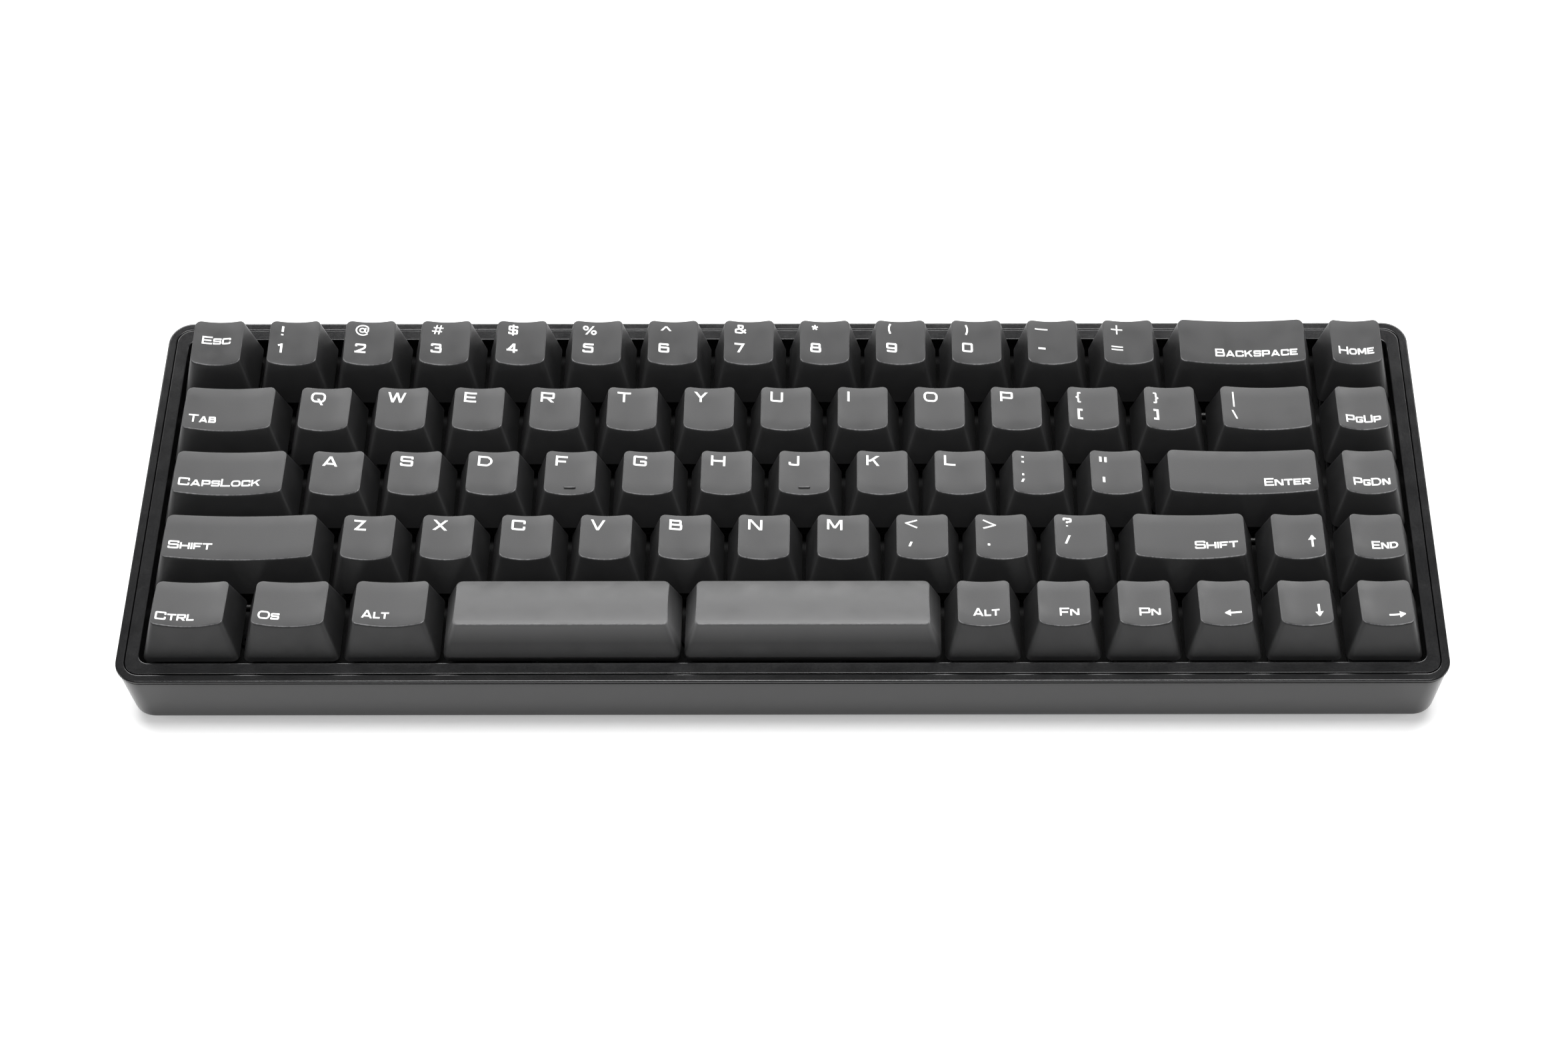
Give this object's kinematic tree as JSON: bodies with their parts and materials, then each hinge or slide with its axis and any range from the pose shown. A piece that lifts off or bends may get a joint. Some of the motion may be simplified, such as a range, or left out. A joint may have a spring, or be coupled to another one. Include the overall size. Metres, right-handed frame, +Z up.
{
  "type": "mechanical keyboard",
  "caption": "Compact wired mechanical keyboard with sculpted keycaps on sliding switches, a split space bar, a matt tray case with an inset top frame, and rubber feet.",
  "frame": {"origin": "middle of the footprint, on the surface that the feet stand on", "axes": "+X to the typist's right, +Y from the typist to the back edge, +Z up"},
  "size_m": [0.3164, 0.1068, 0.0358],
  "materials": {
    "case_plastic": "satin, fine texture",
    "keycap_plastic": "fine grained matt PBT",
    "plate_steel": "black powder coat",
    "board": "black solder mask",
    "housing_black": "satin nylon",
    "housing_smoke": "dark satin nylon",
    "spring_steel": "bright drawn wire",
    "socket_steel": "satin nickel plate",
    "screw_steel": "black oxide",
    "rubber": "matt"
  },
  "bodies": {
    "case_assembly": {"bottom_case": "case_plastic", "top_frame": "case_plastic", "switch_plate": "plate_steel", "circuit_board": "board", "switch_lower_housings": "housing_black", "switch_upper_housings": "housing_smoke", "switch_springs_and_contacts": "spring_steel", "stabilizer_housings": "housing_black", "stabilizer_wires": "spring_steel", "usb_socket": "socket_steel", "plate_screws": "screw_steel", "rubber_feet": "rubber"},
    "number_row_keys": {"number_row_keys": "keycap_plastic"},
    "punctuation_keys": {"punctuation_keys": "keycap_plastic"},
    "navigation_keys": {"navigation_keys": "keycap_plastic"},
    "key_esc": {"key_esc": "keycap_plastic"},
    "key_backspace": {"key_backspace": "keycap_plastic"},
    "key_tab": {"key_tab": "keycap_plastic"},
    "key_q": {"key_q": "keycap_plastic"},
    "key_w": {"key_w": "keycap_plastic"},
    "key_e": {"key_e": "keycap_plastic"},
    "key_r": {"key_r": "keycap_plastic"},
    "key_t": {"key_t": "keycap_plastic"},
    "key_y": {"key_y": "keycap_plastic"},
    "key_u": {"key_u": "keycap_plastic"},
    "key_i": {"key_i": "keycap_plastic"},
    "key_o": {"key_o": "keycap_plastic"},
    "key_p": {"key_p": "keycap_plastic"},
    "key_caps_lock": {"key_caps_lock": "keycap_plastic"},
    "key_a": {"key_a": "keycap_plastic"},
    "key_s": {"key_s": "keycap_plastic"},
    "key_d": {"key_d": "keycap_plastic"},
    "key_f": {"key_f": "keycap_plastic"},
    "key_g": {"key_g": "keycap_plastic"},
    "key_h": {"key_h": "keycap_plastic"},
    "key_j": {"key_j": "keycap_plastic"},
    "key_k": {"key_k": "keycap_plastic"},
    "key_l": {"key_l": "keycap_plastic"},
    "key_enter": {"key_enter": "keycap_plastic"},
    "key_shift_left": {"key_shift_left": "keycap_plastic"},
    "key_z": {"key_z": "keycap_plastic"},
    "key_x": {"key_x": "keycap_plastic"},
    "key_c": {"key_c": "keycap_plastic"},
    "key_v": {"key_v": "keycap_plastic"},
    "key_b": {"key_b": "keycap_plastic"},
    "key_n": {"key_n": "keycap_plastic"},
    "key_m": {"key_m": "keycap_plastic"},
    "key_shift_right": {"key_shift_right": "keycap_plastic"},
    "key_arrow_up": {"key_arrow_up": "keycap_plastic"},
    "key_ctrl": {"key_ctrl": "keycap_plastic"},
    "key_os": {"key_os": "keycap_plastic"},
    "key_alt_left": {"key_alt_left": "keycap_plastic"},
    "key_space_left": {"key_space_left": "keycap_plastic"},
    "key_space_right": {"key_space_right": "keycap_plastic"},
    "key_alt_right": {"key_alt_right": "keycap_plastic"},
    "key_fn": {"key_fn": "keycap_plastic"},
    "key_pn": {"key_pn": "keycap_plastic"},
    "key_arrow_left": {"key_arrow_left": "keycap_plastic"},
    "key_arrow_down": {"key_arrow_down": "keycap_plastic"},
    "key_arrow_right": {"key_arrow_right": "keycap_plastic"}
  },
  "joints": [
    {"name": "number_row_travel", "type": "slide", "parent": "case_assembly", "child": "number_row_keys", "axis": [0, 0.0785, -0.9969], "range_m": [0, 0.004], "stiffness_N_per_m": 1200, "springref_m": -0.0035},
    {"name": "punctuation_travel", "type": "slide", "parent": "case_assembly", "child": "punctuation_keys", "axis": [0, 0.0785, -0.9969], "range_m": [0, 0.004], "stiffness_N_per_m": 800, "springref_m": -0.0035},
    {"name": "navigation_travel", "type": "slide", "parent": "case_assembly", "child": "navigation_keys", "axis": [0, 0.0785, -0.9969], "range_m": [0, 0.004], "stiffness_N_per_m": 400, "springref_m": -0.0035},
    {"name": "esc_travel", "type": "slide", "parent": "case_assembly", "child": "key_esc", "axis": [0, 0.0785, -0.9969], "range_m": [0, 0.004], "stiffness_N_per_m": 100, "springref_m": -0.0035},
    {"name": "backspace_travel", "type": "slide", "parent": "case_assembly", "child": "key_backspace", "axis": [0, 0.0785, -0.9969], "range_m": [0, 0.004], "stiffness_N_per_m": 100, "springref_m": -0.0035},
    {"name": "tab_travel", "type": "slide", "parent": "case_assembly", "child": "key_tab", "axis": [0, 0.0785, -0.9969], "range_m": [0, 0.004], "stiffness_N_per_m": 100, "springref_m": -0.0035},
    {"name": "q_travel", "type": "slide", "parent": "case_assembly", "child": "key_q", "axis": [0, 0.0785, -0.9969], "range_m": [0, 0.004], "stiffness_N_per_m": 100, "springref_m": -0.0035},
    {"name": "w_travel", "type": "slide", "parent": "case_assembly", "child": "key_w", "axis": [0, 0.0785, -0.9969], "range_m": [0, 0.004], "stiffness_N_per_m": 100, "springref_m": -0.0035},
    {"name": "e_travel", "type": "slide", "parent": "case_assembly", "child": "key_e", "axis": [0, 0.0785, -0.9969], "range_m": [0, 0.004], "stiffness_N_per_m": 100, "springref_m": -0.0035},
    {"name": "r_travel", "type": "slide", "parent": "case_assembly", "child": "key_r", "axis": [0, 0.0785, -0.9969], "range_m": [0, 0.004], "stiffness_N_per_m": 100, "springref_m": -0.0035},
    {"name": "t_travel", "type": "slide", "parent": "case_assembly", "child": "key_t", "axis": [0, 0.0785, -0.9969], "range_m": [0, 0.004], "stiffness_N_per_m": 100, "springref_m": -0.0035},
    {"name": "y_travel", "type": "slide", "parent": "case_assembly", "child": "key_y", "axis": [0, 0.0785, -0.9969], "range_m": [0, 0.004], "stiffness_N_per_m": 100, "springref_m": -0.0035},
    {"name": "u_travel", "type": "slide", "parent": "case_assembly", "child": "key_u", "axis": [0, 0.0785, -0.9969], "range_m": [0, 0.004], "stiffness_N_per_m": 100, "springref_m": -0.0035},
    {"name": "i_travel", "type": "slide", "parent": "case_assembly", "child": "key_i", "axis": [0, 0.0785, -0.9969], "range_m": [0, 0.004], "stiffness_N_per_m": 100, "springref_m": -0.0035},
    {"name": "o_travel", "type": "slide", "parent": "case_assembly", "child": "key_o", "axis": [0, 0.0785, -0.9969], "range_m": [0, 0.004], "stiffness_N_per_m": 100, "springref_m": -0.0035},
    {"name": "p_travel", "type": "slide", "parent": "case_assembly", "child": "key_p", "axis": [0, 0.0785, -0.9969], "range_m": [0, 0.004], "stiffness_N_per_m": 100, "springref_m": -0.0035},
    {"name": "caps_lock_travel", "type": "slide", "parent": "case_assembly", "child": "key_caps_lock", "axis": [0, 0.0785, -0.9969], "range_m": [0, 0.004], "stiffness_N_per_m": 100, "springref_m": -0.0035},
    {"name": "a_travel", "type": "slide", "parent": "case_assembly", "child": "key_a", "axis": [0, 0.0785, -0.9969], "range_m": [0, 0.004], "stiffness_N_per_m": 100, "springref_m": -0.0035},
    {"name": "s_travel", "type": "slide", "parent": "case_assembly", "child": "key_s", "axis": [0, 0.0785, -0.9969], "range_m": [0, 0.004], "stiffness_N_per_m": 100, "springref_m": -0.0035},
    {"name": "d_travel", "type": "slide", "parent": "case_assembly", "child": "key_d", "axis": [0, 0.0785, -0.9969], "range_m": [0, 0.004], "stiffness_N_per_m": 100, "springref_m": -0.0035},
    {"name": "f_travel", "type": "slide", "parent": "case_assembly", "child": "key_f", "axis": [0, 0.0785, -0.9969], "range_m": [0, 0.004], "stiffness_N_per_m": 100, "springref_m": -0.0035},
    {"name": "g_travel", "type": "slide", "parent": "case_assembly", "child": "key_g", "axis": [0, 0.0785, -0.9969], "range_m": [0, 0.004], "stiffness_N_per_m": 100, "springref_m": -0.0035},
    {"name": "h_travel", "type": "slide", "parent": "case_assembly", "child": "key_h", "axis": [0, 0.0785, -0.9969], "range_m": [0, 0.004], "stiffness_N_per_m": 100, "springref_m": -0.0035},
    {"name": "j_travel", "type": "slide", "parent": "case_assembly", "child": "key_j", "axis": [0, 0.0785, -0.9969], "range_m": [0, 0.004], "stiffness_N_per_m": 100, "springref_m": -0.0035},
    {"name": "k_travel", "type": "slide", "parent": "case_assembly", "child": "key_k", "axis": [0, 0.0785, -0.9969], "range_m": [0, 0.004], "stiffness_N_per_m": 100, "springref_m": -0.0035},
    {"name": "l_travel", "type": "slide", "parent": "case_assembly", "child": "key_l", "axis": [0, 0.0785, -0.9969], "range_m": [0, 0.004], "stiffness_N_per_m": 100, "springref_m": -0.0035},
    {"name": "enter_travel", "type": "slide", "parent": "case_assembly", "child": "key_enter", "axis": [0, 0.0785, -0.9969], "range_m": [0, 0.004], "stiffness_N_per_m": 100, "springref_m": -0.0035},
    {"name": "shift_left_travel", "type": "slide", "parent": "case_assembly", "child": "key_shift_left", "axis": [0, 0.0785, -0.9969], "range_m": [0, 0.004], "stiffness_N_per_m": 100, "springref_m": -0.0035},
    {"name": "z_travel", "type": "slide", "parent": "case_assembly", "child": "key_z", "axis": [0, 0.0785, -0.9969], "range_m": [0, 0.004], "stiffness_N_per_m": 100, "springref_m": -0.0035},
    {"name": "x_travel", "type": "slide", "parent": "case_assembly", "child": "key_x", "axis": [0, 0.0785, -0.9969], "range_m": [0, 0.004], "stiffness_N_per_m": 100, "springref_m": -0.0035},
    {"name": "c_travel", "type": "slide", "parent": "case_assembly", "child": "key_c", "axis": [0, 0.0785, -0.9969], "range_m": [0, 0.004], "stiffness_N_per_m": 100, "springref_m": -0.0035},
    {"name": "v_travel", "type": "slide", "parent": "case_assembly", "child": "key_v", "axis": [0, 0.0785, -0.9969], "range_m": [0, 0.004], "stiffness_N_per_m": 100, "springref_m": -0.0035},
    {"name": "b_travel", "type": "slide", "parent": "case_assembly", "child": "key_b", "axis": [0, 0.0785, -0.9969], "range_m": [0, 0.004], "stiffness_N_per_m": 100, "springref_m": -0.0035},
    {"name": "n_travel", "type": "slide", "parent": "case_assembly", "child": "key_n", "axis": [0, 0.0785, -0.9969], "range_m": [0, 0.004], "stiffness_N_per_m": 100, "springref_m": -0.0035},
    {"name": "m_travel", "type": "slide", "parent": "case_assembly", "child": "key_m", "axis": [0, 0.0785, -0.9969], "range_m": [0, 0.004], "stiffness_N_per_m": 100, "springref_m": -0.0035},
    {"name": "shift_right_travel", "type": "slide", "parent": "case_assembly", "child": "key_shift_right", "axis": [0, 0.0785, -0.9969], "range_m": [0, 0.004], "stiffness_N_per_m": 100, "springref_m": -0.0035},
    {"name": "arrow_up_travel", "type": "slide", "parent": "case_assembly", "child": "key_arrow_up", "axis": [0, 0.0785, -0.9969], "range_m": [0, 0.004], "stiffness_N_per_m": 100, "springref_m": -0.0035},
    {"name": "ctrl_travel", "type": "slide", "parent": "case_assembly", "child": "key_ctrl", "axis": [0, 0.0785, -0.9969], "range_m": [0, 0.004], "stiffness_N_per_m": 100, "springref_m": -0.0035},
    {"name": "os_travel", "type": "slide", "parent": "case_assembly", "child": "key_os", "axis": [0, 0.0785, -0.9969], "range_m": [0, 0.004], "stiffness_N_per_m": 100, "springref_m": -0.0035},
    {"name": "alt_left_travel", "type": "slide", "parent": "case_assembly", "child": "key_alt_left", "axis": [0, 0.0785, -0.9969], "range_m": [0, 0.004], "stiffness_N_per_m": 100, "springref_m": -0.0035},
    {"name": "space_left_travel", "type": "slide", "parent": "case_assembly", "child": "key_space_left", "axis": [0, 0.0785, -0.9969], "range_m": [0, 0.004], "stiffness_N_per_m": 100, "springref_m": -0.0035},
    {"name": "space_right_travel", "type": "slide", "parent": "case_assembly", "child": "key_space_right", "axis": [0, 0.0785, -0.9969], "range_m": [0, 0.004], "stiffness_N_per_m": 100, "springref_m": -0.0035},
    {"name": "alt_right_travel", "type": "slide", "parent": "case_assembly", "child": "key_alt_right", "axis": [0, 0.0785, -0.9969], "range_m": [0, 0.004], "stiffness_N_per_m": 100, "springref_m": -0.0035},
    {"name": "fn_travel", "type": "slide", "parent": "case_assembly", "child": "key_fn", "axis": [0, 0.0785, -0.9969], "range_m": [0, 0.004], "stiffness_N_per_m": 100, "springref_m": -0.0035},
    {"name": "pn_travel", "type": "slide", "parent": "case_assembly", "child": "key_pn", "axis": [0, 0.0785, -0.9969], "range_m": [0, 0.004], "stiffness_N_per_m": 100, "springref_m": -0.0035},
    {"name": "arrow_left_travel", "type": "slide", "parent": "case_assembly", "child": "key_arrow_left", "axis": [0, 0.0785, -0.9969], "range_m": [0, 0.004], "stiffness_N_per_m": 100, "springref_m": -0.0035},
    {"name": "arrow_down_travel", "type": "slide", "parent": "case_assembly", "child": "key_arrow_down", "axis": [0, 0.0785, -0.9969], "range_m": [0, 0.004], "stiffness_N_per_m": 100, "springref_m": -0.0035},
    {"name": "arrow_right_travel", "type": "slide", "parent": "case_assembly", "child": "key_arrow_right", "axis": [0, 0.0785, -0.9969], "range_m": [0, 0.004], "stiffness_N_per_m": 100, "springref_m": -0.0035}
  ]
}
